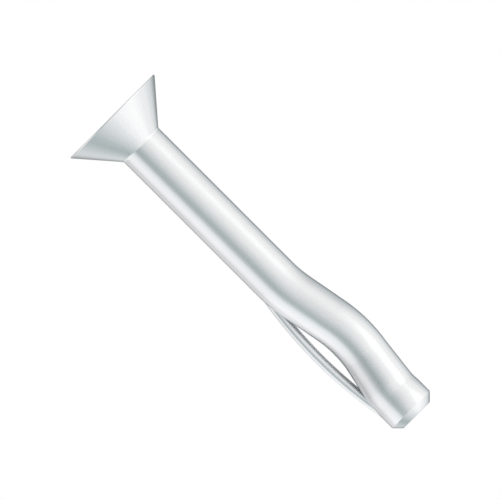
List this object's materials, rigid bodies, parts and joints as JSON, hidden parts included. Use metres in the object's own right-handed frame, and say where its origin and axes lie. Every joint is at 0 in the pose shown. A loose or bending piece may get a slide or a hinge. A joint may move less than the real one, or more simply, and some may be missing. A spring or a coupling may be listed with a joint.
{
  "type": "split drive anchor",
  "caption": "Flat countersunk-head drive anchor: plain round shank, then an end split lengthwise, bowed apart and closed again at a chamfered tip.",
  "frame": {"origin": "centre of the head's flat top, on which the anchor stands", "axes": "+Z along the plain shank's axis, from the head towards the tip; the main leg bows to -X and the rear strand to +X; -Y is the front, from which the see-through eye shows"},
  "size_m": [0.014, 0.014, 0.0508],
  "materials": {
    "zinc_plated_steel": "bright zinc plate, smooth"
  },
  "bodies": {
    "root": {"anchor_body": "zinc_plated_steel"}
  },
  "joints": []
}
